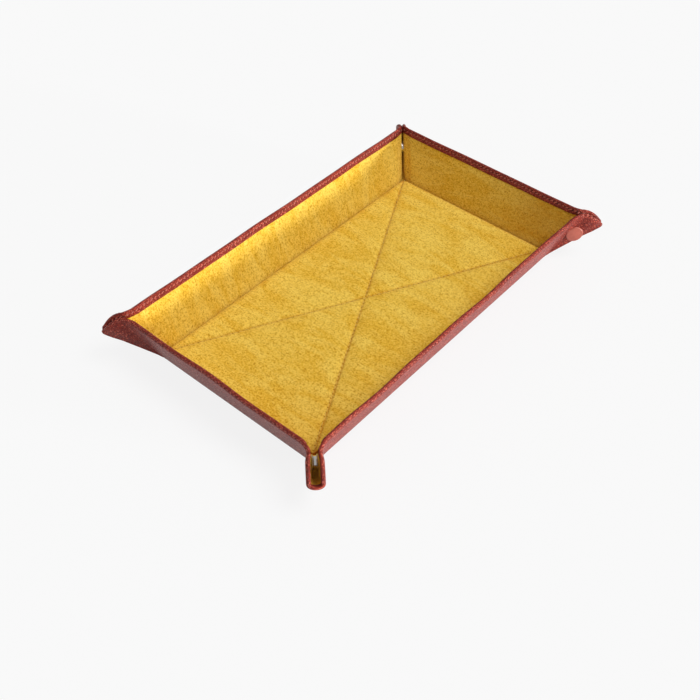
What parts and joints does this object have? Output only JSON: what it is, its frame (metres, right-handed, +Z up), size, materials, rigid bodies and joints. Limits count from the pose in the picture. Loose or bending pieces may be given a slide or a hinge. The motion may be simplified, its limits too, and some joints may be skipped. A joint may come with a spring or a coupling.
{
  "type": "valet tray",
  "caption": "Rectangular leather valet tray with suede lining, stitched padded floor and corners pinched by press snaps, which folds flat.",
  "frame": {"origin": "centre of the outline on the surface that the floor rests on", "axes": "+X along the long walls, +Y towards the back wall, +Z up"},
  "size_m": [0.3072, 0.1892, 0.0388],
  "materials": {
    "leather": "cross grained, semi matt",
    "suede": "napped suede",
    "card": "grey board",
    "padding": "thin wadding",
    "snap_cap": "satin enamel, leather coloured",
    "snap_metal": "nickel plated"
  },
  "bodies": {
    "base": {"base_cover": "leather", "base_board": "card", "base_padding": "padding", "base_lining": "suede"},
    "wall_front": {"wall_front_cover": "leather", "wall_front_board": "card", "wall_front_lining": "suede"},
    "wall_right": {"wall_right_cover": "leather", "wall_right_board": "card", "wall_right_lining": "suede"},
    "wall_back": {"wall_back_cover": "leather", "wall_back_board": "card", "wall_back_lining": "suede"},
    "wall_left": {"wall_left_cover": "leather", "wall_left_board": "card", "wall_left_lining": "suede"},
    "front_left_long_ear": {"front_left_long_ear_cover": "leather", "front_left_long_ear_lining": "suede", "front_left_fold_strip": "leather", "front_left_snap_cap": "snap_cap", "front_left_snap_socket": "snap_metal"},
    "front_left_short_ear": {"front_left_short_ear_cover": "leather", "front_left_short_ear_lining": "suede", "front_left_snap_stud": "snap_metal", "front_left_snap_post": "snap_metal"},
    "front_right_long_ear": {"front_right_long_ear_cover": "leather", "front_right_long_ear_lining": "suede", "front_right_fold_strip": "leather", "front_right_snap_cap": "snap_cap", "front_right_snap_socket": "snap_metal"},
    "front_right_short_ear": {"front_right_short_ear_cover": "leather", "front_right_short_ear_lining": "suede", "front_right_snap_stud": "snap_metal", "front_right_snap_post": "snap_metal"},
    "back_right_long_ear": {"back_right_long_ear_cover": "leather", "back_right_long_ear_lining": "suede", "back_right_fold_strip": "leather", "back_right_snap_cap": "snap_cap", "back_right_snap_socket": "snap_metal"},
    "back_right_short_ear": {"back_right_short_ear_cover": "leather", "back_right_short_ear_lining": "suede", "back_right_snap_stud": "snap_metal", "back_right_snap_post": "snap_metal"},
    "back_left_long_ear": {"back_left_long_ear_cover": "leather", "back_left_long_ear_lining": "suede", "back_left_fold_strip": "leather", "back_left_snap_cap": "snap_cap", "back_left_snap_socket": "snap_metal"},
    "back_left_short_ear": {"back_left_short_ear_cover": "leather", "back_left_short_ear_lining": "suede", "back_left_snap_stud": "snap_metal", "back_left_snap_post": "snap_metal"}
  },
  "joints": [
    {"name": "wall_front_fold", "type": "hinge", "parent": "base", "child": "wall_front", "pos_m": [0, -0.066, 0.0006], "axis": [1, 0, 0], "range_deg": [0, 68]},
    {"name": "wall_right_fold", "type": "hinge", "parent": "base", "child": "wall_right", "pos_m": [0.125, 0, 0.0006], "axis": [0, 1, 0], "range_deg": [0, 68]},
    {"name": "wall_back_fold", "type": "hinge", "parent": "base", "child": "wall_back", "pos_m": [0, 0.066, 0.0006], "axis": [-1, 0, 0], "range_deg": [0, 68]},
    {"name": "wall_left_fold", "type": "hinge", "parent": "base", "child": "wall_left", "pos_m": [-0.125, 0, 0.0006], "axis": [0, -1, 0], "range_deg": [0, 68]},
    {"name": "front_left_ear_crease", "type": "hinge", "parent": "wall_front", "child": "front_left_long_ear", "pos_m": [-0.12116, -0.0647, 0.00112], "axis": [0.3508, 0.3508, -0.8683], "range_deg": [0, 49.03]},
    {"name": "front_left_ear_opening", "type": "hinge", "parent": "front_left_long_ear", "child": "front_left_short_ear", "pos_m": [-0.12511, -0.06611, 0.00051], "axis": [-0.5736, -0.5736, 0.5849], "range_deg": [0, 179.9], "deforming": ["front_left_fold_strip"]},
    {"name": "front_right_ear_crease", "type": "hinge", "parent": "wall_front", "child": "front_right_long_ear", "pos_m": [0.12116, -0.0647, 0.00112], "axis": [0.3508, -0.3508, 0.8683], "range_deg": [0, 49.03]},
    {"name": "front_right_ear_opening", "type": "hinge", "parent": "front_right_long_ear", "child": "front_right_short_ear", "pos_m": [0.12511, -0.06611, 0.00051], "axis": [-0.5736, 0.5736, -0.5849], "range_deg": [0, 179.9], "deforming": ["front_right_fold_strip"]},
    {"name": "back_right_ear_crease", "type": "hinge", "parent": "wall_back", "child": "back_right_long_ear", "pos_m": [0.12116, 0.0647, 0.00112], "axis": [-0.3508, -0.3508, -0.8683], "range_deg": [0, 49.03]},
    {"name": "back_right_ear_opening", "type": "hinge", "parent": "back_right_long_ear", "child": "back_right_short_ear", "pos_m": [0.12511, 0.06611, 0.00051], "axis": [0.5736, 0.5736, 0.5849], "range_deg": [0, 179.9], "deforming": ["back_right_fold_strip"]},
    {"name": "back_left_ear_crease", "type": "hinge", "parent": "wall_back", "child": "back_left_long_ear", "pos_m": [-0.12116, 0.0647, 0.00112], "axis": [-0.3508, 0.3508, 0.8683], "range_deg": [0, 49.03]},
    {"name": "back_left_ear_opening", "type": "hinge", "parent": "back_left_long_ear", "child": "back_left_short_ear", "pos_m": [-0.12511, 0.06611, 0.00051], "axis": [0.5736, -0.5736, -0.5849], "range_deg": [0, 179.9], "deforming": ["back_left_fold_strip"]}
  ],
  "couplings": [
    {"joint": "wall_right_fold", "follows": "wall_front_fold", "ratio": 1},
    {"joint": "wall_back_fold", "follows": "wall_front_fold", "ratio": 1},
    {"joint": "wall_left_fold", "follows": "wall_front_fold", "ratio": 1},
    {"joint": "front_left_ear_crease", "follows": "wall_front_fold", "ratio": 0.72108},
    {"joint": "front_left_ear_opening", "follows": "wall_front_fold", "ratio": 2.6456},
    {"joint": "front_right_ear_crease", "follows": "wall_front_fold", "ratio": 0.72108},
    {"joint": "front_right_ear_opening", "follows": "wall_front_fold", "ratio": 2.6456},
    {"joint": "back_right_ear_crease", "follows": "wall_front_fold", "ratio": 0.72108},
    {"joint": "back_right_ear_opening", "follows": "wall_front_fold", "ratio": 2.6456},
    {"joint": "back_left_ear_crease", "follows": "wall_front_fold", "ratio": 0.72108},
    {"joint": "back_left_ear_opening", "follows": "wall_front_fold", "ratio": 2.6456}
  ]
}
